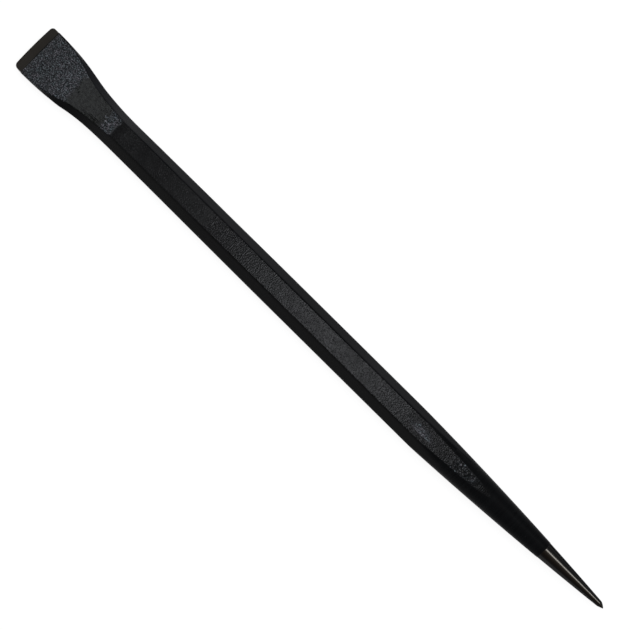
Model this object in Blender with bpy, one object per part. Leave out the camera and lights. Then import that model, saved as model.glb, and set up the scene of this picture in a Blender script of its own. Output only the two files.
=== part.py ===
"""Alignment bar: one length of hexagonal steel, forged at one end and turned at the other.

The bar lies along X on one of its six flats, at z = 0. The flared chisel end points to -X and
the long round point to +X. Stations are distances from the chisel edge along the bar.
"""

import math

import bmesh
import bpy
from mathutils import Matrix, Vector

# Stock
LENGTH = 0.4572
ACROSS_FLATS = 0.01905
SIDE_CORNER_RADIUS = 0.0019  # the rolled corners at the bar's two sides
FLAT_CORNER_RADIUS = 0.0008  # and the four beside its lying flats

# Chisel end, forged to a flared wedge and ground at its edge
BLADE_WIDTH = 0.03175
BLADE_THICKNESS = 0.0044  # behind the ground bevels
SIDE_DRAFT = 0.0002  # the blade's sides bulge this far at the middle of its thickness
EDGE_THICKNESS = 0.0009
EDGE_CORNER_RADIUS = 0.0020
EDGE_CLIP = 0.0007  # the -Y corner of the edge is ground off this much further
BEVEL_LENGTH = 0.0051
FORGED_LENGTH = 0.067  # from the edge to the crest where the dies stopped
FACE_FLARE_LENGTH = 0.0475  # from the bevel until the faces are as narrow as the stock's
FLARE_RUN_ON = 0.0095  # the sides' flare dies out this far behind the crest
BLADE_SHIFT = 0.0008  # forging left the blade this far to one side of the stock's axis

# Neck, where forging drew the stock in
NECK_DEPTH = 0.0002  # on each flat
NECK_DRAW = 0.00045  # on each side
NECK_LENGTH = 0.125  # from the end of the flare until the sides are full again
NECK_FLAT_LENGTH = 0.035  # from the crest until the flats are full again

# Point, turned after its two lying flats were pressed closer in two steps
POINT_LENGTH = 0.160  # the turned length, with the tip
POINT_CROWN = 0.00129  # how far the taper swells out past a straight cone, at its middle
POINT_LEAN = 0.00165  # the tip lies this far to the same side
LEAN_LENGTH = 0.137  # from the tip, where its axis leaves the bar's
TURNING_ALLOWANCE = 0.0001  # the turned profile starts this far outside the stock's corners
TIP_LENGTH = 0.0034  # the short blunt cone
TIP_RADIUS = 0.00185  # at the back of that cone
FIRST_PRESS_START = 0.211  # from the tip, where the flats start to close in
FIRST_PRESS_END = 0.148
FIRST_PRESS_DEPTH = 0.00045  # on each of the two flats
SECOND_PRESS_START = 0.127
SECOND_PRESS_END = 0.0905
SECOND_PRESS_DEPTH = 0.00085

# Finish
BARE_POINT = 0.047  # the point is ground bare this far back, after painting

# Shares of a span that its curve keeps nearly level for, at its two ends
OUTLINE_HOLD = (0.65, 0.6)
FACE_HOLD = (0.5, 0.5)
EVEN_HOLD = (1 / 3, 1 / 3)
WEDGE_HOLLOW = 0.4  # 0 makes the wedge straight, 1 leaves all its rise to its thick end

# Fineness of the mesh
CORNER_STEPS = 4
EDGE_CORNER_STEPS = 4
FLARE_STEPS = 22
NECK_STEPS = 8
POINT_STEPS = 26
POINT_SIDES = 64
SHARP_ANGLE = math.radians(17)

AXIS_HEIGHT = ACROSS_FLATS / 2
CORNER_REACH = ACROSS_FLATS / math.sqrt(3)  # axis to a sharp corner
FLARE_LENGTH = FORGED_LENGTH + FLARE_RUN_ON
OVERRUN = 0.01  # solids that cut or are cut away reach this far past the bar


def remove_all():
    for old in list(bpy.data.objects):
        bpy.data.objects.remove(old, do_unlink=True)


def steel(name, colour, roughness, metallic):
    material = bpy.data.materials.new(name)
    material.use_nodes = True
    shader = material.node_tree.nodes["Principled BSDF"]
    shader.inputs["Base Color"].default_value = (*colour, 1.0)
    shader.inputs["Roughness"].default_value = roughness
    shader.inputs["Metallic"].default_value = metallic
    return material


def finishes():
    """The black paint over most of the bar, and the bare steel of its two ground ends."""
    return (
        steel("black_paint", (0.030, 0.031, 0.033), 0.5, 0.0),
        steel("ground_steel", (0.14, 0.128, 0.115), 0.2, 1.0),
    )


def mix(start, end, share):
    return start + (end - start) * share


def eased(station, start, end, hold):
    """Share of the way from start to end, on a cubic curve that is level at both ends."""
    span = end - start
    if station <= start or span <= 0:
        return 0.0 if station <= start else 1.0
    if station >= end:
        return 1.0
    low, high = 0.0, 1.0
    for _ in range(40):
        t = (low + high) / 2
        along = 3 * (1 - t) ** 2 * t * hold[0] + 3 * (1 - t) * t**2 * (1 - hold[1]) + t**3
        low, high = (t, high) if start + span * along < station else (low, t)
    return 3 * t**2 - 2 * t**3


def corner_inset(station):
    """How far the rounded corners of the chisel edge draw its sides in."""
    short = EDGE_CORNER_RADIUS - station
    if short <= 0:
        return 0.0
    return EDGE_CORNER_RADIUS - math.sqrt(EDGE_CORNER_RADIUS**2 - min(short, EDGE_CORNER_RADIUS) ** 2)


def pressed_depth(station):
    """How far each lying flat is pressed in at the point."""
    from_tip = LENGTH - station
    first = (FIRST_PRESS_START - from_tip) / (FIRST_PRESS_START - FIRST_PRESS_END)
    second = (SECOND_PRESS_START - from_tip) / (SECOND_PRESS_START - SECOND_PRESS_END)
    depth = FIRST_PRESS_DEPTH * min(max(first, 0.0), 1.0)
    return depth + SECOND_PRESS_DEPTH * min(max(second, 0.0), 1.0)


def half_thickness(station):
    """From the axis to the lying flats."""
    full = ACROSS_FLATS / 2
    neck = full - NECK_DEPTH
    blade = BLADE_THICKNESS / 2
    if station < BEVEL_LENGTH:
        return mix(EDGE_THICKNESS / 2, blade, station / BEVEL_LENGTH)
    if station < FORGED_LENGTH:
        share = (station - BEVEL_LENGTH) / (FORGED_LENGTH - BEVEL_LENGTH)
        return mix(blade, neck, mix(share, share**3, WEDGE_HOLLOW))
    recovered = eased(station, FORGED_LENGTH, FORGED_LENGTH + NECK_FLAT_LENGTH, EVEN_HOLD)
    return full - NECK_DEPTH * (1 - recovered) - pressed_depth(station)


def half_outline(station):
    """From the axis to the corners at the sides, seen from above."""
    drawn = CORNER_REACH - NECK_DRAW
    flared = mix(BLADE_WIDTH / 2, drawn, eased(station, 0.0, FLARE_LENGTH, OUTLINE_HOLD))
    regained = NECK_DRAW * eased(station, FLARE_LENGTH, FLARE_LENGTH + NECK_LENGTH, EVEN_HOLD)
    return flared + regained - corner_inset(station)


def half_face(station):
    """Half the width of the lying flats, between their corners."""
    stock = (ACROSS_FLATS - half_thickness(station)) / math.sqrt(3)
    blade = BLADE_WIDTH / 2 - SIDE_DRAFT - corner_inset(station)
    share = eased(station, BEVEL_LENGTH, BEVEL_LENGTH + FACE_FLARE_LENGTH, FACE_HOLD)
    return min(mix(blade, stock, share), half_outline(station) - SIDE_DRAFT)


def side_shift(station):
    """How far the section lies to one side of the stock's axis."""
    return BLADE_SHIFT * (1 - eased(station, BEVEL_LENGTH, FLARE_LENGTH, EVEN_HOLD))


def softened(corners, radii):
    """The closed outline with each corner rounded, as far as the sides beside it allow."""
    points = []
    for index, (corner, radius) in enumerate(zip(corners, radii)):
        before = corners[index - 1] - corner
        after = corners[(index + 1) % len(corners)] - corner
        turn = math.pi - before.angle(after)
        shorter = min(before.length, after.length)
        setback = min(max(radius * math.tan(turn / 2), 0.02 * shorter), 0.4 * shorter)
        first = corner + before.normalized() * setback
        last = corner + after.normalized() * setback
        for step in range(CORNER_STEPS + 1):
            t = step / CORNER_STEPS
            points.append(first * (1 - t) ** 2 + corner * 2 * t * (1 - t) + last * t**2)
    return points


def section(station):
    """The bar's section at a station: a hexagon, from a flat wedge to the regular one."""
    face = half_face(station)
    outline = half_outline(station)
    thickness = half_thickness(station)
    clip = EDGE_CLIP * max(1 - station / BEVEL_LENGTH, 0.0)
    corners = [
        Vector((outline, 0.0)),
        Vector((face, thickness)),
        Vector((clip - face, thickness)),
        Vector((clip - outline, 0.0)),
        Vector((clip - face, -thickness)),
        Vector((face, -thickness)),
    ]
    radii = (SIDE_CORNER_RADIUS, FLAT_CORNER_RADIUS, FLAT_CORNER_RADIUS) * 2
    x = station - LENGTH / 2
    shift = side_shift(station)
    return [Vector((x, point.x + shift, AXIS_HEIGHT + point.y)) for point in softened(corners, radii)]


def spread(start, end, steps):
    return [mix(start, end, step / steps) for step in range(steps + 1)]


def stations():
    """Where the bar has a section, denser where it is forged."""
    places = [EDGE_CORNER_RADIUS * (1 - math.cos(math.pi / 2 * step / EDGE_CORNER_STEPS))
              for step in range(EDGE_CORNER_STEPS + 1)]
    places += spread(BEVEL_LENGTH, FORGED_LENGTH, FLARE_STEPS)
    places += spread(FORGED_LENGTH, FORGED_LENGTH + NECK_FLAT_LENGTH, NECK_STEPS)
    places += spread(FORGED_LENGTH + NECK_FLAT_LENGTH, FLARE_LENGTH + NECK_LENGTH, NECK_STEPS)
    places += [LENGTH - FIRST_PRESS_START, LENGTH - FIRST_PRESS_END]
    places += [LENGTH - SECOND_PRESS_START, LENGTH - SECOND_PRESS_END, LENGTH + OVERRUN]
    nearest = 1e-4
    kept = []
    for place in sorted(places):
        if not kept or place - kept[-1] > nearest:
            kept.append(place)
    return kept


def loft(bm, rings):
    """Skins a row of rings of equal count and caps both ends."""
    rows = [[bm.verts.new(point) for point in ring] for ring in rings]
    count = len(rows[0])
    for near, far in zip(rows, rows[1:]):
        for index in range(count):
            following = (index + 1) % count
            bm.faces.new((near[index], near[following], far[following], far[index]))
    bm.faces.new(rows[0])
    bm.faces.new(rows[-1])


def point_radius(from_tip):
    """The turned point's radius, on one swelling curve behind the short tip cone."""
    if from_tip < TIP_LENGTH:
        return TIP_RADIUS * from_tip / TIP_LENGTH
    share = (from_tip - TIP_LENGTH) / (POINT_LENGTH - TIP_LENGTH)
    back = CORNER_REACH + TURNING_ALLOWANCE
    return mix(TIP_RADIUS, back, share) + POINT_CROWN * 4 * share * (1 - share)


def new_object(name, bm):
    bmesh.ops.recalc_face_normals(bm, faces=bm.faces)
    mesh = bpy.data.meshes.new(name)
    bm.to_mesh(mesh)
    bm.free()
    made = bpy.data.objects.new(name, mesh)
    bpy.context.scene.collection.objects.link(made)
    return made


def forged_blank():
    """The stock with its chisel end forged and its lying flats pressed, before turning."""
    bm = bmesh.new()
    loft(bm, [section(station) for station in stations()])
    return new_object("forged_bar", bm)


def turning_envelope():
    """All that the lathe leaves: the point's profile, spun, and free space round the rest."""
    distances = spread(TIP_LENGTH, POINT_LENGTH, POINT_STEPS) + [BARE_POINT]
    outline = [(0.0, 0.0)] + [(d, point_radius(d)) for d in sorted(set(distances))]
    clear = BLADE_WIDTH
    outline += [(POINT_LENGTH, clear), (LENGTH + OVERRUN, clear), (LENGTH + OVERRUN, 0.0)]
    bm = bmesh.new()
    verts = [bm.verts.new((-distance, 0.0, radius)) for distance, radius in outline]
    edges = [bm.edges.new(pair) for pair in zip(verts, verts[1:])]
    bmesh.ops.spin(bm, geom=verts + edges, cent=(0, 0, 0), axis=(1, 0, 0), angle=2 * math.pi,
                   steps=POINT_SIDES, use_merge=True)
    bmesh.ops.remove_doubles(bm, verts=bm.verts, dist=1e-6)
    made = new_object("turning_envelope", bm)
    pivot = Vector((LENGTH / 2 - LEAN_LENGTH, 0.0, AXIS_HEIGHT))
    lean = Matrix.Rotation(math.asin(POINT_LEAN / LEAN_LENGTH), 4, "Z")
    made.matrix_world = Matrix.Translation(pivot) @ lean @ Matrix.Translation((LEAN_LENGTH, 0, 0))
    made.hide_render = True
    made.display_type = "WIRE"
    return made


def turned(bar, envelope):
    """Cuts the bar to the envelope, so that the round point runs out into the flats."""
    cut = bar.modifiers.new("turn_point", "BOOLEAN")
    cut.operation = "INTERSECT"
    cut.solver = "EXACT"
    cut.object = envelope
    bpy.context.view_layer.update()
    evaluated = bar.evaluated_get(bpy.context.evaluated_depsgraph_get())
    mesh = bpy.data.meshes.new_from_object(evaluated)
    bar.modifiers.clear()
    bar.data = mesh
    mesh.name = bar.name


def finished(bar):
    """Paints the bar, leaves its ground ends bare, and shades its round parts smooth."""
    bar.data.materials.clear()
    for material in finishes():
        bar.data.materials.append(material)
    for face in bar.data.polygons:
        station = face.center.x + LENGTH / 2
        bare = station < BEVEL_LENGTH or station > LENGTH - BARE_POINT
        face.material_index = 1 if bare else 0
    bar.data.shade_smooth()
    bar.data.set_sharp_from_angle(angle=SHARP_ANGLE)


def main():
    remove_all()
    bar = forged_blank()
    envelope = turning_envelope()
    turned(bar, envelope)
    bpy.data.objects.remove(envelope, do_unlink=True)
    finished(bar)


main()
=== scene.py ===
"""An alignment bar as photographed: black paint over a steel forging, with two bare ground ends.

The bar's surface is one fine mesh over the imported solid. Lengths are in millimetres until the
mesh is made. Stations are distances from the chisel edge, y is across the bar and z is up from
its axis.
"""

import math

import bpy
import numpy as np
from mathutils import Matrix, Vector, noise


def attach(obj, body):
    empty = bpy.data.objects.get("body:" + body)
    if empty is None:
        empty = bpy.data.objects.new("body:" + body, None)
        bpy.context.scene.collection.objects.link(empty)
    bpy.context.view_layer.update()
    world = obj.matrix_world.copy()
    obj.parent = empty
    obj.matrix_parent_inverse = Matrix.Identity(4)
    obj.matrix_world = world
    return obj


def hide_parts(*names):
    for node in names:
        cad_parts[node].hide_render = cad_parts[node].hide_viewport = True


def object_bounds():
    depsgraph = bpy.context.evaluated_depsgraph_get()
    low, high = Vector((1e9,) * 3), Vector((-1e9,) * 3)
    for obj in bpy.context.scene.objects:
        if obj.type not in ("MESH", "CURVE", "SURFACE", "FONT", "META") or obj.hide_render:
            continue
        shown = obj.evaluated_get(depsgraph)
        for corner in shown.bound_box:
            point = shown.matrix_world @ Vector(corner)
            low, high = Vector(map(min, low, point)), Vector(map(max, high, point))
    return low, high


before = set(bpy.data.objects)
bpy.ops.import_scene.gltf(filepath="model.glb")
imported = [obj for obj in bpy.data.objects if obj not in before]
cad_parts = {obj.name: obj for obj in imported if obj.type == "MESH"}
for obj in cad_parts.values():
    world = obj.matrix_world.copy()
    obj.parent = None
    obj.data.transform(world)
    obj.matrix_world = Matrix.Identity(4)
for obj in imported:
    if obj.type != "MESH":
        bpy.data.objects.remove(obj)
cad_box = [list(corner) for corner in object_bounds()]

MM = 0.001

# The bar, as in the solid
LENGTH = (cad_box[1][0] - cad_box[0][0]) / MM
ACROSS_FLATS = (cad_box[1][2] - cad_box[0][2]) / MM
SIDE_CORNER_RADIUS = 1.9
FLAT_CORNER_RADIUS = 0.8
BLADE_WIDTH = 31.75
BLADE_THICKNESS = 4.4
SIDE_DRAFT = 0.2
EDGE_THICKNESS = 0.9
EDGE_CORNER_RADIUS = 2.0
EDGE_CLIP = 0.7
BEVEL_LENGTH = 5.1
FORGED_LENGTH = 67.0
FACE_FLARE_LENGTH = 47.5
FLARE_LENGTH = 76.5
BLADE_SHIFT = 0.8
NECK_DEPTH = 0.2
NECK_DRAW = 0.45
NECK_LENGTH = 125.0
NECK_FLAT_LENGTH = 35.0
POINT_LENGTH = 160.0
POINT_CROWN = 1.29
POINT_LEAN = 1.65
LEAN_LENGTH = 137.0
TIP_LENGTH = 3.4
TIP_RADIUS = 1.85
TURNING_ALLOWANCE = 0.1  # the turned profile starts this far outside the stock's corners
FIRST_PRESS = (211.0, 148.0, 0.45)  # start and end from the tip, and depth
SECOND_PRESS = (127.0, 90.5, 0.85)
OUTLINE_HOLD = (0.65, 0.6)  # how long a curve stays level at its start and its end
FACE_HOLD = (0.5, 0.5)
EVEN_HOLD = (1 / 3, 1 / 3)
WEDGE_HOLLOW = 0.4
CORNER_REACH = ACROSS_FLATS / math.sqrt(3)
AXIS_HEIGHT = ACROSS_FLATS / 2

# Finer than the solid, or found later than it
BARE_POINT = 47.6  # how far the point is bare steel, where the solid has 47
PAINT_THICKNESS = 0.13  # with the forging scale under it
PAINT_EDGE = 0.15  # half of the length over which the paint ends at the point
BEVEL_PAINT_EDGE = (-0.05, 0.4)  # from the back of the bevels
PRESS_SOFTNESS = 3.0  # each change of the pressed flats' slope is eased by about this much
RUN_OUT_SOFTNESS = 0.06  # how much the edge between the flats and the turning is rounded
RUN_OUT_FILL = 0.3  # the share of that rounding that is filled again
LEAST_RADIUS = 0.02
TIP_ROUNDING = 0.75  # power of the blunt tip's profile, which is a cone at 1
TIP_BEND = 0.5  # the blunt tip is bent back this far towards the near side
EDGE_ROLL = 0.15  # along the bar, and a third of it in height
EDGE_BOW = 0.3  # the ground edge stands out this far at its middle
EDGE_BOW_REACH = 13.0  # and is back in its place this far from there
EDGE_BOW_FADE = 3.5  # how far the bow goes along the bar
BEVEL_SKEW = 0.033  # the near half of the bevels' back slants by this share of its width
SKEW_START = (0.0, 4.0)  # the stations where the slant sets in
SKEW_END = (6.0, 14.0)  # and where it fades
# Where a side stands out more than the solid's: start, end, softness and height
FAR_SWELLS = ((25, 58, 8, 0.20), (82, 142, 14, 0.14))
NEAR_SWELLS = ((30, 37, 3, 0.25),)

# Mesh: cells round the bar, and the step between stations up to each place
CORNER_CELLS = 4
UPPER_CELLS = 80
LOWER_CELLS = 28
SIDE_CELLS = 6
STATION_STEPS = (
    (0.16, 0.04),
    (4.9, 0.4),
    (5.5, 0.1),
    (36.0, 0.38),
    (58.0, 0.55),
    (68.5, 0.32),
    (110.0, 0.9),
    (295.0, 1.7),
    (335.0, 0.8),
    (352.0, 0.3),
    (368.0, 0.4),
    (408.8, 0.8),
    (410.6, 0.15),
    (450.0, 1.0),
    (457.0, 0.35),
)
CORNER_SHARES = (0.02, 0.4)  # the least and the most of a facet that a rounded corner takes
CORNERS = 6
UPPER, LOWER = 1, 4  # the two lying flats among the six facets
FAR_FACETS = (0, 5)
SHARP_ANGLE = math.radians(48)
CURVE_SAMPLES = 401


def mix(start, end, share):
    return start + (end - start) * share


def eased(x, start, end, hold):
    """Share of the way from start to end, on a cubic curve that is level at both ends."""
    t = np.linspace(0, 1, CURVE_SAMPLES)
    along = 3 * (1 - t) ** 2 * t * hold[0] + 3 * (1 - t) * t**2 * (1 - hold[1]) + t**3
    return np.interp(x, start + (end - start) * along, 3 * t**2 - 2 * t**3)


def ramp(x, start, end):
    t = np.clip((x - start) / (end - start), 0, 1)
    return t * t * (3 - 2 * t)


def within(x, start, end, soft):
    """One between start and end and nothing outside, each change taking twice soft."""
    return ramp(x, start - soft, start + soft) * (1 - ramp(x, end - soft, end + soft))


def corner_inset(x):
    short = np.clip(EDGE_CORNER_RADIUS - x, 0, EDGE_CORNER_RADIUS)
    return EDGE_CORNER_RADIUS - np.sqrt(EDGE_CORNER_RADIUS**2 - short**2)


def pressed_depth(x):
    depth = 0
    for start, end, step in (FIRST_PRESS, SECOND_PRESS):
        begun = np.logaddexp((x - LENGTH + start) / PRESS_SOFTNESS, 0)
        ended = np.logaddexp((x - LENGTH + end) / PRESS_SOFTNESS, 0)
        depth = depth + step * (begun - ended) * PRESS_SOFTNESS / (start - end)
    return depth


def half_thickness(x):
    full = ACROSS_FLATS / 2
    blade = BLADE_THICKNESS / 2
    bevel = mix(EDGE_THICKNESS / 2, blade, x / BEVEL_LENGTH)
    bevel -= EDGE_ROLL / 3 * np.clip(1 - x / EDGE_ROLL, 0, 1) ** 2
    share = np.clip((x - BEVEL_LENGTH) / (FORGED_LENGTH - BEVEL_LENGTH), 0, 1)
    wedge = mix(blade, full - NECK_DEPTH, mix(share, share**3, WEDGE_HOLLOW))
    wedge += NECK_DEPTH * eased(x, FORGED_LENGTH, FORGED_LENGTH + NECK_FLAT_LENGTH, EVEN_HOLD)
    return np.where(x < BEVEL_LENGTH, bevel, wedge) - pressed_depth(x)


def half_outline(x):
    drawn = CORNER_REACH - NECK_DRAW
    flared = mix(BLADE_WIDTH / 2, drawn, eased(x, 0.0, FLARE_LENGTH, OUTLINE_HOLD))
    regained = NECK_DRAW * eased(x, FLARE_LENGTH, FLARE_LENGTH + NECK_LENGTH, EVEN_HOLD)
    return flared + regained - corner_inset(x)


def half_face(x):
    stock = (ACROSS_FLATS - half_thickness(x)) / math.sqrt(3)
    blade = BLADE_WIDTH / 2 - SIDE_DRAFT - corner_inset(x)
    share = eased(x, BEVEL_LENGTH, BEVEL_LENGTH + FACE_FLARE_LENGTH, FACE_HOLD)
    return np.minimum(mix(blade, stock, share), half_outline(x) - SIDE_DRAFT)


def side_shift(x):
    return BLADE_SHIFT * (1 - eased(x, BEVEL_LENGTH, FLARE_LENGTH, EVEN_HOLD))


def point_radius(x):
    from_tip = LENGTH - x
    share = (from_tip - TIP_LENGTH) / (POINT_LENGTH - TIP_LENGTH)
    taper = mix(TIP_RADIUS, CORNER_REACH + TURNING_ALLOWANCE, share)
    taper += POINT_CROWN * 4 * share * (1 - share)
    blunt = TIP_RADIUS * (np.maximum(from_tip, 0) / TIP_LENGTH) ** TIP_ROUNDING
    profile = np.where(from_tip < TIP_LENGTH, blunt, taper)
    return np.where(from_tip > POINT_LENGTH, BLADE_WIDTH, profile)  # nothing is turned off before it


def point_axis(x):
    """How far the turned point's axis lies to one side."""
    lean = (x - LENGTH + LEAN_LENGTH) * POINT_LEAN / LEAN_LENGTH
    return lean - TIP_BEND * np.clip((x - LENGTH + TIP_LENGTH) / TIP_LENGTH, 0, 1) ** 2


def stations():
    places = [0.0]
    for end, step in STATION_STEPS:
        count = max(1, round((end - places[-1]) / step))
        places += list(np.linspace(places[-1], end, count + 1)[1:])
    return np.array(places)


def edge_warp(x, y):
    """How far the ground edge and the back of its bevels stray from square."""
    off_middle = (y - BLADE_SHIFT) / EDGE_BOW_REACH
    bow = EDGE_BOW * (off_middle**2 - 1) * (1 - ramp(x, 0, EDGE_BOW_FADE))
    skew = -BEVEL_SKEW * np.minimum(y, 0) * ramp(x, *SKEW_START) * (1 - ramp(x, *SKEW_END))
    return bow + skew


def swelling(x, swells):
    return sum(height * within(x, start, end, soft) for start, end, soft, height in swells)


def section_corners(x):
    """The sharp corners of the section at each station, from the far one round over the top."""
    face, outline, thick = half_face(x), half_outline(x), half_thickness(x)
    clip = EDGE_CLIP * np.clip(1 - x / BEVEL_LENGTH, 0, 1) ** 2
    level = np.zeros_like(x)
    sides = (
        (outline + swelling(x, FAR_SWELLS), level),
        (face, thick),
        (clip - face, thick),
        (clip - outline - swelling(x, NEAR_SWELLS), level),
        (clip - face, -thick),
        (face, -thick),
    )
    return np.stack([np.stack(side, 1) for side in sides], 1)


def corner_ends(corners):
    """Where each rounded corner starts and where it ends."""
    firsts, lasts = [], []
    for k in range(CORNERS):
        corner = corners[:, k]
        before = corners[:, k - 1] - corner
        after = corners[:, (k + 1) % CORNERS] - corner
        long_before = np.linalg.norm(before, axis=1)
        long_after = np.linalg.norm(after, axis=1)
        cosine = (before * after).sum(1) / (long_before * long_after)
        turn = math.pi - np.arccos(np.clip(cosine, -1, 1))
        least, most = (share * np.minimum(long_before, long_after) for share in CORNER_SHARES)
        radius = FLAT_CORNER_RADIUS if k % 3 else SIDE_CORNER_RADIUS
        setback = np.clip(radius * np.tan(turn / 2), least, most)
        firsts.append(corner + before * (setback / long_before)[:, None])
        lasts.append(corner + after * (setback / long_after)[:, None])
    return firsts, lasts


def ring_outline(x):
    """Points round the section at each station, the facet that each starts, and how lying it is."""
    corners = section_corners(x)
    firsts, lasts = corner_ends(corners)
    points, facets, lying = [], [], []
    for k in range(CORNERS):
        for step in range(CORNER_CELLS + 1):
            t = step / CORNER_CELLS
            points.append(firsts[k] * (1 - t) ** 2 + corners[:, k] * 2 * t * (1 - t) + lasts[k] * t**2)
            facets.append(k if t > 0.5 else k - 1)
            lying.append(t * (k in (UPPER, LOWER)) + (1 - t) * (k - 1 in (UPPER, LOWER)))
        cells = {UPPER: UPPER_CELLS, LOWER: LOWER_CELLS}.get(k, SIDE_CELLS)
        for step in range(1, cells):
            points.append(mix(lasts[k], firsts[(k + 1) % CORNERS], step / cells))
            facets.append(k)
            lying.append(k in (UPPER, LOWER))
    return np.stack(points, 1), np.array(facets) % CORNERS, np.array(lying, float)


def bar_surface():
    """The bar's grid of points, and how far each lies inside the turned profile, in millimetres."""
    x = stations()
    ring, facets, lying = ring_outline(x)
    across = ring[..., 0] + side_shift(x)[:, None]
    up = ring[..., 1]
    axis = point_axis(x)[:, None]
    reach = np.hypot(across - axis, up)
    turned = point_radius(x)[:, None]
    soft = RUN_OUT_SOFTNESS
    rounded = -soft * np.logaddexp(-reach / soft, -turned / soft)
    rounded += soft * RUN_OUT_FILL * np.exp(-np.abs(reach - turned) / soft)
    kept = np.minimum(rounded, np.minimum(reach, turned))
    scale = np.maximum(kept, LEAST_RADIUS) / reach
    across = axis + (across - axis) * scale
    along = x[:, None] + edge_warp(x[:, None], across)
    points = np.stack([along, across, up * scale], 2)
    return points, facets, lying, turned - reach


def surface_normals(points):
    along = np.gradient(points, axis=0)
    wrapped = np.concatenate([points[:, -1:], points, points[:, :1]], 1)
    around = wrapped[:, 2:] - wrapped[:, :-2]
    normal = np.cross(around, along)
    length = np.linalg.norm(normal, axis=2, keepdims=True)
    return normal / np.maximum(length, 1e-9)


SEED_STEP = 17.31  # each seed's waves come from this much further along the noise
UNMARKED = 0.001  # a mask below this leaves the surface plain
TURNED_FADE = 0.25  # the turning's rings are full where it took off this much
LYING_FADE = 0.3  # and the flats' relief where the turned profile is this far outside them
RIDGE_SLOPE = 2.5  # how steeply a wrinkle falls off from its ridge


class Relief:
    """Heights that stand out of the plain surface, on the grid of its points."""

    def __init__(self, points, lying, inside):
        self.points = points
        self.x = np.broadcast_to(stations()[:, None], inside.shape)
        self.y = points[..., 1]
        self.turned = ramp(-inside, 0.0, TURNED_FADE)
        self.lying = lying[None, :] * ramp(inside, 0.0, LYING_FADE)
        self.upper = self.lying * (points[..., 2] > 0)
        self.height = np.zeros(self.x.shape)

    def waves(self, mask, size, seed, stretch=(1, 1, 1)):
        """Smooth random heights from about -1 to 1, about size apart, where the mask isn't 0."""
        wanted = mask > UNMARKED
        flat = self.points[wanted] / (size * np.array(stretch)) + seed * SEED_STEP
        waves = np.zeros(self.x.shape)
        waves[wanted] = [noise.noise(Vector(p), noise_basis="PERLIN_ORIGINAL") for p in flat]
        return waves

    def roughen(self, mask, depth, size, seed, stretch=(1, 1, 1)):
        self.height += depth * mask * self.waves(mask, size, seed, stretch)

    def wrinkle(self, mask, depth, size, seed):
        """Sharp-topped ridges, where the waves change sign."""
        ridges = 1 - RIDGE_SLOPE * np.abs(self.waves(mask, size, seed))
        self.height += depth * mask * ridges

    def ripple(self, mask, depth, pitch):
        """Even waves along the bar."""
        self.height += depth * mask * np.sin(self.x * 2 * math.pi / pitch)

    def dent(self, mask, depth, place):
        """A dent where place is 0, which is gone by about 2, or a ridge where depth is negative."""
        self.height -= depth * mask * np.exp(-(place**2))


# Rough stretches of the lying flats: start, end, softness, depth, size of the lumps and seed
ROUGH_STRETCHES = (
    (6.0, 66.0, 4.0, 0.08, 11.0, 3),
    (35.0, 60.0, 2.0, 0.02, 2.5, 4),
    (60.5, 66.8, 0.8, 0.14, 1.3, 6),  # the crest
)
# Forging lines on the wedge's upper flat: start, end, softness, y at the start, slope, half width,
# and depth, which is negative where the line stands out
FORGING_LINES = (
    (50.5, 58.5, 1.5, -4.465, -0.03, 0.45, 0.07),
    (45.0, 57.0, 2.0, -5.85, 0.02, 0.35, -0.06),
    (46.0, 56.0, 2.0, 6.72, -0.08, 0.40, 0.03),
)
# Pits in the upper flat: station, y, radius and depth
PITS = (
    (11.8, -3.35, 0.75, 0.40),
    (35.5, 1.40, 0.60, 0.14),
    (37.4, -0.10, 0.45, 0.20),
    (338.0, -0.70, 0.50, 0.35),
    (339.8, 0.30, 0.45, 0.30),
    (340.3, -2.40, 0.50, 0.35),
    (341.5, -1.10, 0.50, 0.35),
    (345.5, -0.40, 0.40, 0.20),
    (349.3, 0.40, 0.55, 0.30),
    (349.9, -1.20, 0.40, 0.20),
    (355.9, -0.90, 0.40, 0.20),
    (356.1, 0.20, 0.40, 0.25),
    (356.2, 1.10, 0.45, 0.25),
)
# Where its paint is worn light, with painted glints of its lumps: station, y, half of the length and
# width, and how densely
WEAR_AND_GLINT_SPOTS = (
    (29.5, 0.50, 6.0, 13.0, 0.06),
    (58.9, 0.85, 1.3, 0.50, 1.0),
    (61.0, -4.10, 0.7, 0.60, 1.0),
    (62.6, -1.15, 3.3, 0.50, 1.0),
    (62.9, 4.10, 1.6, 0.60, 0.8),
    (64.9, 1.10, 0.7, 0.90, 0.8),
    (308.8, 1.60, 0.8, 0.60, 0.8),
    (311.5, -0.10, 8.0, 2.60, 0.20),
    (312.8, -1.55, 7.5, 0.80, 0.50),
    (337.9, -3.45, 0.5, 0.40, 0.9),
    (341.1, 1.75, 0.5, 0.45, 0.9),
    (341.4, -3.25, 0.5, 0.40, 0.9),
    (343.2, 3.20, 0.4, 0.40, 0.9),
    (351.7, 0.40, 1.9, 1.60, 0.18),
    (359.7, -0.15, 0.4, 0.35, 0.5),
    (365.0, 0.75, 0.3, 0.30, 0.5),
)
# Where it has no light specks: station, y, and half of the length and width
DARK_SPOTS = (
    (5.35, 0.80, 0.45, 60.0),  # just behind the bevel
    (15.0, 16.10, 12.0, 0.90),  # along the blade's far rim
)


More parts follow.
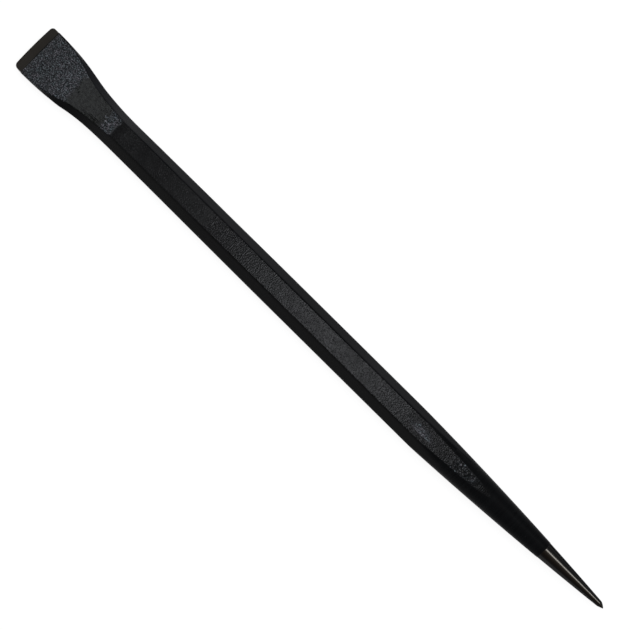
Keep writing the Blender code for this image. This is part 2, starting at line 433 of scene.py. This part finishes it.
def add_scale(relief):
    """The forging's scale on the two lying flats."""
    x, y, lying = relief.x, relief.y, relief.lying
    wavy_end = 34.5 + 1.5 * np.sin(y * 0.35)
    blade = lying * within(x, BEVEL_LENGTH + 0.8, wavy_end, soft=1.0)
    relief.roughen(blade, depth=0.09, size=1.15, seed=1)
    for start, end, soft, depth, size, seed in ROUGH_STRETCHES:
        relief.roughen(lying * within(x, start, end, soft), depth, size, seed)
    shank = lying * within(x, 75, 345, soft=8)
    relief.roughen(shank, depth=0.03, size=13, seed=8, stretch=(2.5, 1, 1))
    bright_patch = lying * within(x, 305, 320, soft=2) * within(y, -2.4, 2.1, soft=0.6)
    relief.roughen(bright_patch, depth=0.05, size=1.3, seed=9)
    run_out = lying * within(x, 336, 353, soft=1.5)
    relief.wrinkle(run_out, depth=0.06, size=2.0, seed=10)
    relief.roughen(run_out, depth=0.12, size=1.2, seed=11)


def add_marks(relief):
    """The single marks that show on the upper flat."""
    x, y, upper = relief.x, relief.y, relief.upper
    relief.ripple(upper * within(x, 355.5, 365, soft=1.0), depth=0.04, pitch=1.15)
    for station, across, radius, depth in PITS:
        relief.dent(upper, depth, np.hypot(x - station, y - across) / radius)
    for start, end, soft, across, slope, half_width, depth in FORGING_LINES:
        off_line = y - across - slope * (x - start)
        relief.dent(upper * within(x, start, end, soft), depth, off_line / half_width)


def add_paint(relief):
    """The turning's rings, and the paint, which stops at the bevels and at the point."""
    x = relief.x
    bare = LENGTH - BARE_POINT
    rings = relief.turned * within(x, LENGTH - POINT_LENGTH, bare, soft=2)
    relief.ripple(rings, depth=0.006, pitch=1.35)
    bevel_start, bevel_end = (BEVEL_LENGTH + place for place in BEVEL_PAINT_EDGE)
    painted = ramp(x, bevel_start, bevel_end) * (1 - ramp(x, bare - PAINT_EDGE, bare + PAINT_EDGE))
    relief.height += PAINT_THICKNESS * painted


def forged_relief(points, lying, inside):
    relief = Relief(points, lying, inside)
    add_scale(relief)
    add_marks(relief)
    add_paint(relief)
    return relief.height


FORGED, NEAR_SIDE, FAR_SIDE, TURNED, EDGE, POINT = range(6)  # the finishes


def finish_of_faces(facets, inside):
    """Which finish each quad of the grid has."""
    places = stations()
    middle = (places[:-1] + places[1:]) / 2
    inside = np.minimum(inside[:-1], inside[1:])
    sides = np.where(np.isin(facets, FAR_FACETS), FAR_SIDE, NEAR_SIDE)
    finish = np.where(np.isin(facets, (UPPER, LOWER)), FORGED, sides)
    finish = np.repeat(finish[None, :], len(middle), 0)
    finish[inside < 0] = TURNED
    finish[middle < BEVEL_LENGTH] = EDGE
    finish[middle > LENGTH - BARE_POINT] = POINT
    return finish


def grid_faces(rows, columns):
    """Quads between the rings, triangles to the tip, which is the last point, and the edge's face."""
    index = np.arange(rows * columns).reshape(rows, columns)
    following = np.roll(index, -1, axis=1)
    quads = np.stack([index[:-1], following[:-1], following[1:], index[1:]], 2).reshape(-1, 4)
    faces = [tuple(quad) for quad in quads.tolist()]
    faces += [(a, b, rows * columns) for a, b in zip(index[-1].tolist(), following[-1].tolist())]
    faces.append(tuple(reversed(index[0].tolist())))
    return faces


def painted_mesh():
    points, facets, lying, inside = bar_surface()
    height = forged_relief(points, lying, inside)
    points = points + surface_normals(points) * height[..., None]
    rows, columns = points.shape[:2]
    tip = (LENGTH, float(point_axis(LENGTH)), 0.0)
    placed = np.append(points.reshape(-1, 3), [tip], 0) + np.array([-LENGTH / 2, 0, AXIS_HEIGHT])
    mesh = bpy.data.meshes.new("forged_bar_surface")
    mesh.from_pydata((placed * MM).tolist(), [], grid_faces(rows, columns))
    finish = finish_of_faces(facets, inside)
    slots = np.append(finish.reshape(-1), [POINT] * columns + [EDGE])
    mesh.polygons.foreach_set("material_index", slots)
    mesh.shade_smooth()
    mesh.set_sharp_from_angle(angle=SHARP_ANGLE)
    mesh.update()
    return mesh


NOISE_RANGE = (0.3, 0.7)  # where most of a noise's values lie
OVAL_RIM = (0.4, 1.25)  # an oval fades between these shares of its size
WOBBLE_SCALE = 220  # features per metre of the noise by which stations wander


def combined(nodes, links, operation, first, second):
    node = nodes.new("ShaderNodeMath")
    node.operation = operation
    links.new(first, node.inputs[0])
    links.new(second, node.inputs[1])
    return node.outputs[0]


class Finish:
    """A material and its procedural textures, which lie in the bar's own space."""

    def __init__(self, name, ior, metallic=0.0):
        self.material = bpy.data.materials.new(name)
        self.material.use_nodes = True
        self.nodes = self.material.node_tree.nodes
        self.links = self.material.node_tree.links
        self.shader = self.nodes["Principled BSDF"]
        self.shader.inputs["IOR"].default_value = ior
        self.shader.inputs["Metallic"].default_value = metallic
        self.place = self.nodes.new("ShaderNodeTexCoord")

    def noise(self, scale, detail=2.0, stretch=(1, 1, 1)):
        """Noise with about this many features per metre."""
        mapping = self.nodes.new("ShaderNodeMapping")
        mapping.inputs["Scale"].default_value = stretch
        texture = self.nodes.new("ShaderNodeTexNoise")
        texture.inputs["Scale"].default_value = scale
        texture.inputs["Detail"].default_value = detail
        self.links.new(self.place.outputs["Object"], mapping.inputs["Vector"])
        self.links.new(mapping.outputs["Vector"], texture.inputs["Vector"])
        return texture.outputs["Fac"]

    def coordinate(self, kind, axis):
        parts = self.nodes.new("ShaderNodeSeparateXYZ")
        self.links.new(self.place.outputs[kind], parts.inputs[0])
        return parts.outputs[axis]

    def spread(self, value, low, high, usual=NOISE_RANGE):
        """Maps a value's usual range to another one, and keeps it within that."""
        node = self.nodes.new("ShaderNodeMapRange")
        node.inputs["From Min"].default_value = usual[0]
        node.inputs["From Max"].default_value = usual[1]
        node.inputs["To Min"].default_value = low
        node.inputs["To Max"].default_value = high
        self.links.new(value, node.inputs["Value"])
        return node.outputs["Result"]

    def blend(self, value, start, end):
        """A colour between two others, each a colour or an output."""
        node = self.nodes.new("ShaderNodeMix")
        node.data_type = "RGBA"
        self.links.new(value, node.inputs["Factor"])
        for name, colour in (("A", start), ("B", end)):
            if isinstance(colour, tuple):
                node.inputs[name].default_value = (*colour, 1)
            else:
                self.links.new(colour, node.inputs[name])
        return node.outputs["Result"]

    def bump(self, *layers):
        """Bump from layers of a height, its depth in millimetres and perhaps its strength."""
        previous = None
        for height, depth, *strength in layers:
            node = self.nodes.new("ShaderNodeBump")
            node.inputs["Distance"].default_value = depth * MM
            self.links.new(height, node.inputs["Height"])
            if strength:
                self.links.new(strength[0], node.inputs["Strength"])
            if previous:
                self.links.new(previous, node.inputs["Normal"])
            previous = node.outputs["Normal"]
        self.links.new(previous, self.shader.inputs["Normal"])

    def graded(self, value, stops):
        """A value or a colour that follows another value from stop to stop."""
        node = self.nodes.new("ShaderNodeValToRGB")
        marks = node.color_ramp.elements
        while len(marks) < len(stops):
            marks.new(0.5)
        for mark, (position, colour) in zip(marks, stops):
            mark.position = position
            mark.color = (*colour, 1)
        self.links.new(value, node.inputs["Fac"])
        return node.outputs["Color"]

    def combined(self, operation, first, second):
        return combined(self.nodes, self.links, operation, first, second)

    def by_station(self, stops, wobble=0.0):
        """A value that changes evenly from stop to stop along the bar, each a station and a value."""
        half = LENGTH / 2 * MM
        along = self.spread(self.coordinate("Object", "X"), 0, 1, (-half, half))
        stray = self.spread(self.noise(WOBBLE_SCALE, 1), -wobble / LENGTH, wobble / LENGTH)
        stops = [(station / LENGTH, (value,) * 3) for station, value in stops]
        return self.graded(self.combined("ADD", along, stray), stops)

    def oval(self, station, y, half_length, half_width, inside, outside):
        """One value inside an oval on the bar's plan and another one outside it."""
        mapping = self.nodes.new("ShaderNodeMapping")
        centre = ((LENGTH / 2 - station) / half_length, -y / half_width, 0)
        mapping.inputs["Location"].default_value = centre
        mapping.inputs["Scale"].default_value = (1 / (half_length * MM), 1 / (half_width * MM), 0)
        reach = self.nodes.new("ShaderNodeVectorMath")
        reach.operation = "LENGTH"
        self.links.new(self.place.outputs["Object"], mapping.inputs["Vector"])
        self.links.new(mapping.outputs["Vector"], reach.inputs[0])
        return self.spread(reach.outputs["Value"], inside, outside, OVAL_RIM)

    def finish(self, colour, roughness):
        self.links.new(colour, self.shader.inputs["Base Color"])
        self.links.new(roughness, self.shader.inputs["Roughness"])
        return self.material


# How strong the forging's grain is along the bar, each a station and a share
GRAIN = (
    (5.5, 1.0),
    (33.5, 1.0),
    (35.5, 0.45),
    (58.0, 0.45),
    (60.0, 1.0),
    (66.0, 1.0),
    (68.0, 0.25),
    (71.0, 0.25),
    (74.0, 0.50),
    (80.0, 0.48),
    (87.0, 0.32),
    (110.0, 0.34),
    (128.0, 0.35),
    (150.0, 0.45),
    (300.0, 0.50),
    (306.0, 0.80),
    (317.0, 0.80),
    (325.0, 0.60),
    (336.0, 0.65),
    (343.0, 0.38),
    (349.0, 0.22),
    (356.0, 0.20),
)
# How much its lumps are worn light, with painted glints of them
WEAR_AND_GLINT_DOTS = (
    (5.5, 0.85),
    (22.0, 0.85),
    (27.0, 1.0),
    (33.5, 1.0),
    (35.0, 0.0),
    (59.0, 0.0),
    (60.5, 0.7),
    (66.0, 0.7),
    (67.0, 0.0),
    (335.0, 0.0),
    (338.0, 0.2),
    (354.0, 0.2),
    (358.0, 0.0),
)
# How bare the paint is worn beside the worn spots, from 0 to 1, with painted glints there too
CREST_WEAR_AND_GLINTS = (
    (59.0, 0.0),
    (61.0, 0.20),
    (66.0, 0.20),
    (67.0, 0.0),
)
# Where the wedge is mottled
MOTTLED = (
    (33.0, 0.0),
    (36.0, 1.0),
    (58.0, 1.0),
    (61.0, 0.0),
)
# Painted light and shade in the plain paint along the bar, from 0 to 1, on the lying flats and on the far
# and the near side
FLAT_PAINTED_SHADES = (
    (70.0, 0.50),
    (73.0, 0.83),
    (96.0, 0.88),
    (110.0, 1.00),
    (129.0, 1.00),
    (138.0, 0.50),
    (150.0, 0.00),
    (187.0, 0.00),
    (208.0, 0.30),
    (240.0, 0.45),
    (275.0, 0.48),
    (284.0, 0.15),
    (300.0, 0.15),
    (304.0, 0.50),
    (342.0, 0.50),
    (348.0, 0.00),
)
FAR_SIDE_PAINTED_SHADES = (
    (20.0, 0.51),
    (48.0, 0.97),
    (57.0, 1.00),
    (70.0, 1.00),
    (86.0, 0.34),
    (130.0, 0.31),
    (155.0, 0.33),
    (185.0, 0.33),
    (208.0, 0.05),
    (243.0, 0.05),
    (268.0, 0.37),
    (292.0, 0.17),
    (308.0, 0.00),
)
NEAR_SIDE_PAINTED_SHADES = (
    (62.0, 0.17),
    (80.0, 0.00),
    (128.0, 0.00),
    (157.0, 0.04),
    (186.0, 0.11),
)
WOBBLE = 1.5  # how far the stations of some of these wander across the flat


def plain_forging(paint, grain):
    """The plain paint's colour, with painted light and shade along the bar, and the wedge's mottle."""
    # The plain paint is lighter or darker by station: painted light and shade
    painted_shade = paint.by_station(FLAT_PAINTED_SHADES)
    low = paint.blend(painted_shade, (0.0003, 0.0004, 0.0005), (0.0049, 0.0050, 0.0053))
    high = paint.blend(painted_shade, (0.0035, 0.0037, 0.0040), (0.0081, 0.0083, 0.0088))
    shank = paint.blend(paint.spread(grain, 0, 1), low, high)
    blotches = paint.spread(paint.noise(scale=750, detail=1), 0, 1, usual=(0.40, 0.60))
    mottle = paint.blend(blotches, (0.0001, 0.0001, 0.0001), (0.0125, 0.0138, 0.0128))
    return paint.blend(paint.by_station(MOTTLED, WOBBLE), shank, mottle)


def worn_and_glinting_forging(paint, bare):
    """Where the paint is worn, with painted glints of its lumps: dark, with light specks that are denser
    where it is barer.
    """
    hue = paint.spread(paint.noise(scale=520, detail=0), 0, 1)
    light = paint.blend(hue, (0.133, 0.162, 0.180), (0.170, 0.161, 0.186))
    speckle = paint.noise(scale=1500, detail=1)
    dense = paint.combined("ADD", speckle, paint.spread(bare, 0, 0.15, usual=(0, 1)))
    return paint.blend(paint.spread(dense, 0, 1, usual=(0.50, 0.71)), (0.0073, 0.0086, 0.0106), light)


def wear_and_glint_share(paint, bare):
    """How worn the paint is and how much painted glint it shows, but not inside a pit or a dark spot."""
    spotted = paint.spread(bare, 0, 1, usual=(0, 0.3))
    wear_and_glint = paint.combined("MAXIMUM", paint.by_station(WEAR_AND_GLINT_DOTS, WOBBLE), spotted)
    dark = [(station, y, radius, radius) for station, y, radius, _ in PITS]
    for spot in (*dark, *DARK_SPOTS):
        wear_and_glint = paint.combined("MINIMUM", wear_and_glint, paint.oval(*spot, 0, 1))
    return wear_and_glint


def forged_paint():
    paint = Finish("forged_paint", ior=1.175)
    grain = paint.noise(scale=1300, detail=0, stretch=(1.1, 0.95, 1))
    paint.bump((grain, 0.15, paint.by_station(GRAIN, WOBBLE)))
    bare = paint.by_station(CREST_WEAR_AND_GLINTS)
    # The spots make the light specks denser: worn paint, and painted glints
    for spot in WEAR_AND_GLINT_SPOTS:
        bare = paint.combined("MAXIMUM", bare, paint.oval(*spot, 0))
    # Light specks of worn paint and painted glints over the plain paint
    colour = paint.blend(wear_and_glint_share(paint, bare), plain_forging(paint, grain), worn_and_glinting_forging(paint, bare))
    cloud = paint.noise(scale=160)
    return paint.finish(colour, paint.spread(cloud, 0.17, 0.22))


def side_paint(name, ior, darkest, painted_shades):
    """Paint of the drawn sides, with painted light and shade from 0 to 1 by station."""
    paint = Finish(name, ior)
    lines = paint.noise(scale=1500, stretch=(0.012, 1, 1))
    grain = paint.noise(scale=2600, detail=1)
    paint.bump((lines, 0.010), (grain, 0.004))
    # Lighter or darker by station, and the far side lighter than the near: painted light and shade
    painted_shade = paint.blend(paint.by_station(painted_shades), darkest, (0.0155, 0.0160, 0.0186))
    colour = paint.blend(paint.spread(lines, 0, 0.25), painted_shade, (0.0060, 0.0062, 0.0066))
    return paint.finish(colour, paint.spread(lines, 0.26, 0.36))


# The near side's copy of the side paint, kept dark: painted shade
def near_side_paint_shaded():
    return side_paint("near_side_paint_shaded", 1.088, (0.0, 0.0, 0.0), NEAR_SIDE_PAINTED_SHADES)


# The far side's copy of the side paint, lighter and bluer: painted light
def far_side_paint_lit():
    return side_paint("far_side_paint_lit", 1.072, (0.0, 0.0003, 0.0014), FAR_SIDE_PAINTED_SHADES)


def turned_paint():
    paint = Finish("turned_paint", ior=1.083)
    rings = paint.noise(scale=900, stretch=(1, 0.03, 0.03))
    grain = paint.noise(scale=2000)
    paint.bump((rings, 0.006), (grain, 0.006))
    colour = paint.blend(paint.spread(rings, 0, 1), (0.0039, 0.0041, 0.0046), (0.0061, 0.0065, 0.0072))
    return paint.finish(colour, paint.spread(grain, 0.32, 0.44))


def edge_steel():
    steel = Finish("edge_steel", ior=1.5, metallic=1.0)
    lines = steel.noise(scale=2400, stretch=(1, 0.06, 0.06))
    steel.bump((lines, 0.0015))
    cloud = steel.spread(steel.noise(scale=120), 0, 1)
    colour = steel.blend(cloud, (0.048, 0.043, 0.038), (0.054, 0.050, 0.045))
    return steel.finish(colour, steel.spread(lines, 0.15, 0.24))


# The point's steel by which way it faces across the bar, from -1 to 1: the grinding has browned it, the
# band lighter where it faces a little to the far side is a painted highlight, and the steel darker beyond
# it is painted shade
POINT_TINTS_AND_PAINTED_LIGHT = (
    (-0.90, (0.026, 0.026, 0.026)),
    (-0.76, (0.017, 0.017, 0.017)),
    (-0.50, (0.0150, 0.0132, 0.0124)),
    (-0.35, (0.0178, 0.0134, 0.0108)),
    (-0.20, (0.027, 0.022, 0.0175)),
    (-0.06, (0.037, 0.031, 0.026)),
    (0.08, (0.072, 0.067, 0.060)),
    (0.16, (0.062, 0.060, 0.057)),
    (0.24, (0.044, 0.044, 0.043)),
    (0.37, (0.029, 0.029, 0.029)),
    (0.52, (0.018, 0.018, 0.018)),
    (0.68, (0.0115, 0.0115, 0.0118)),
    (0.84, (0.005, 0.005, 0.005)),
)
POINT_RIM = 0.5  # how much of the glare at its sides the steel keeps


def point_steel():
    steel = Finish("point_steel", ior=1.5, metallic=1.0)
    rings = steel.noise(scale=2400, stretch=(1, 0.06, 0.06))
    steel.bump((rings, 0.0015))
    facing = steel.spread(steel.coordinate("Normal", "Y"), 0, 1, usual=(-1, 1))
    # Brown grinding tint, and painted highlight and shade by which way the steel faces
    tint_and_painted_light = steel.graded(facing, [((toward + 1) / 2, colour) for toward, colour in POINT_TINTS_AND_PAINTED_LIGHT])
    steel.shader.inputs["Specular Tint"].default_value = (POINT_RIM, POINT_RIM, POINT_RIM, 1)
    return steel.finish(tint_and_painted_light, steel.spread(rings, 0.15, 0.22))


def make_bar():
    mesh = painted_mesh()
    for finish in (forged_paint, near_side_paint_shaded, far_side_paint_lit, turned_paint, edge_steel, point_steel):
        mesh.materials.append(finish())
    bar = bpy.data.objects.new("forged_bar_surface", mesh)
    bpy.context.scene.collection.objects.link(bar)
    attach(bar, "root")
    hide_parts("forged_bar")


# Camera: above the bar, rolled a little towards its far side
CAMERA_DISTANCE = 2000.0
CAMERA_ROLL = math.radians(4.65)
BAR_TURN = math.radians(44.67)  # how far the bar runs down to the right in the picture
AIM_STATION = 222.35
AIM_ACROSS = 4.73
PICTURE_WIDTH = 359.75  # across the picture, at the bar
SENSOR = 36.0
CAMERA_REACH = 50  # in metres, to past the backdrop


def make_camera():
    data = bpy.data.cameras.new("camera")
    data.sensor_width = SENSOR
    data.lens = SENSOR * CAMERA_DISTANCE / PICTURE_WIDTH
    data.clip_end = CAMERA_REACH
    camera = bpy.data.objects.new("camera", data)
    bpy.context.scene.collection.objects.link(camera)
    toward = Vector((0, -math.sin(CAMERA_ROLL), math.cos(CAMERA_ROLL)))
    across = Vector((0, math.cos(CAMERA_ROLL), math.sin(CAMERA_ROLL)))
    along = Vector((1, 0, 0))
    right = along * math.cos(BAR_TURN) + across * math.sin(BAR_TURN)
    up = across * math.cos(BAR_TURN) - along * math.sin(BAR_TURN)
    aim = along * (AIM_STATION - LENGTH / 2) + across * AIM_ACROSS + Vector((0, 0, AXIS_HEIGHT))
    place = (aim + toward * CAMERA_DISTANCE) * MM
    turned = Matrix((right, up, toward)).transposed().to_4x4()
    camera.matrix_world = Matrix.Translation(place) @ turned
    bpy.context.scene.camera = camera


WORLD_LIGHT = 0.38
# Lamps: name, place, what it faces, size along and across, brightness of its face, colour
LAMPS = (
    ("overhead", (36, 97, 1200), (36, 0, 0), (160, 170), 19.0, (0.98, 1.0, 1.05)),
    ("blade_panel", (-560, 97, 1150), (-200, 0, 0), (400, 400), 4.0, (0.96, 0.99, 1.03)),
    ("point_strip", (530, 470, 1150), (210, 0, 0), (320, 320), 6.0, (1.0, 0.99, 0.96)),
)


def make_lamp(name, place, target, size, brightness, colour):
    data = bpy.data.lights.new(name, "AREA")
    data.shape = "RECTANGLE"
    data.size, data.size_y = size[0] * MM, size[1] * MM
    data.energy = brightness * math.pi * data.size * data.size_y
    data.color = colour
    lamp = bpy.data.objects.new(name, data)
    bpy.context.scene.collection.objects.link(lamp)
    place, target = Vector(place) * MM, Vector(target) * MM
    back = (place - target).normalized()
    side = Vector((1, 0, 0)) - back * back.x
    side.normalize()
    turn = Matrix((side, back.cross(side), back)).transposed().to_4x4()
    lamp.matrix_world = Matrix.Translation(place) @ turn


def make_lights():
    for lamp in LAMPS:
        make_lamp(*lamp)
    world = bpy.data.worlds.new("studio")
    bpy.context.scene.world = world
    world.use_nodes = True
    background = world.node_tree.nodes["Background"]
    background.inputs["Color"].default_value = (1, 1, 1, 1)
    background.inputs["Strength"].default_value = WORLD_LIGHT


# Backdrop: a round floor that curves up into a low wall, in metres
FLOOR_LEVEL = -0.0002  # just under the scale of the bar's lower flat
FLOOR_RINGS = (0.6, 1.2, 2.4, 4.0)
FLOOR_RADIUS = 5.5
WALL_CURVE = 0.5
WALL_CURVE_STEPS = 12
WALL_HEIGHT = 1.1
BACKDROP_SIDES = 96
BACKDROP_COLOUR = (0.8, 0.8, 0.8)
GLOW_STRENGTH = 1.2
GLOW_SHARES = (0.75, 1.0)  # how much of it glows near the bar, and further out
LIT_RADIUS = 0.9  # within it the lamps' own light shows most on the floor
GLOW_RADIUS = 2.6


def backdrop_profile():
    profile = [(radius, 0.0) for radius in FLOOR_RINGS]
    for step in range(WALL_CURVE_STEPS + 1):
        angle = math.pi / 2 * step / WALL_CURVE_STEPS
        profile.append((FLOOR_RADIUS + WALL_CURVE * math.sin(angle), WALL_CURVE * (1 - math.cos(angle))))
    profile.append((FLOOR_RADIUS + WALL_CURVE, WALL_HEIGHT))
    return profile


def make_floor():
    profile = backdrop_profile()
    verts = [(0.0, 0.0, FLOOR_LEVEL)]
    for radius, height in profile:
        for side in range(BACKDROP_SIDES):
            angle = 2 * math.pi * side / BACKDROP_SIDES
            verts.append((radius * math.cos(angle), radius * math.sin(angle), FLOOR_LEVEL + height))
    faces = []
    for side in range(BACKDROP_SIDES):
        other = (side + 1) % BACKDROP_SIDES
        faces.append((0, 1 + side, 1 + other))
        for ring in range(len(profile) - 1):
            low, high = 1 + ring * BACKDROP_SIDES, 1 + (ring + 1) * BACKDROP_SIDES
            faces.append((low + side, high + side, high + other, low + other))
    mesh = bpy.data.meshes.new("floor")
    mesh.from_pydata(verts, [], faces)
    mesh.shade_smooth()
    mesh.materials.append(backdrop_white())
    floor = bpy.data.objects.new("floor", mesh)
    bpy.context.scene.collection.objects.link(floor)


def glow_share(nodes, links):
    """How much of the backdrop's light is its own, where it is seen or reflected."""
    path = nodes.new("ShaderNodeLightPath")
    seen = path.outputs["Is Camera Ray"]
    for other in ("Is Glossy Ray", "Is Transmission Ray"):
        seen = combined(nodes, links, "MAXIMUM", seen, path.outputs[other])
    place = nodes.new("ShaderNodeNewGeometry")
    distance = nodes.new("ShaderNodeVectorMath")
    distance.operation = "LENGTH"
    links.new(place.outputs["Position"], distance.inputs[0])
    share = nodes.new("ShaderNodeMapRange")
    share.interpolation_type = "SMOOTHSTEP"
    share.inputs["From Min"].default_value = LIT_RADIUS
    share.inputs["From Max"].default_value = GLOW_RADIUS
    share.inputs["To Min"].default_value = GLOW_SHARES[0]
    share.inputs["To Max"].default_value = GLOW_SHARES[1]
    links.new(distance.outputs["Value"], share.inputs["Value"])
    return combined(nodes, links, "MULTIPLY", seen, share.outputs["Result"])


def backdrop_white():
    """White that keeps the bar's shadow near it, and glows evenly further out."""
    material = bpy.data.materials.new("backdrop_white")
    material.use_nodes = True
    nodes, links = material.node_tree.nodes, material.node_tree.links
    nodes.clear()
    diffuse = nodes.new("ShaderNodeBsdfDiffuse")
    diffuse.inputs["Color"].default_value = (*BACKDROP_COLOUR, 1)
    glow = nodes.new("ShaderNodeEmission")
    glow.inputs["Strength"].default_value = GLOW_STRENGTH
    mixer = nodes.new("ShaderNodeMixShader")
    links.new(glow_share(nodes, links), mixer.inputs[0])
    links.new(diffuse.outputs[0], mixer.inputs[1])
    links.new(glow.outputs[0], mixer.inputs[2])
    out = nodes.new("ShaderNodeOutputMaterial")
    links.new(mixer.outputs[0], out.inputs["Surface"])
    material.cycles.emission_sampling = "NONE"
    return material


bpy.context.scene.view_settings.view_transform = "Standard"
make_bar()
make_floor()
make_lights()
make_camera()
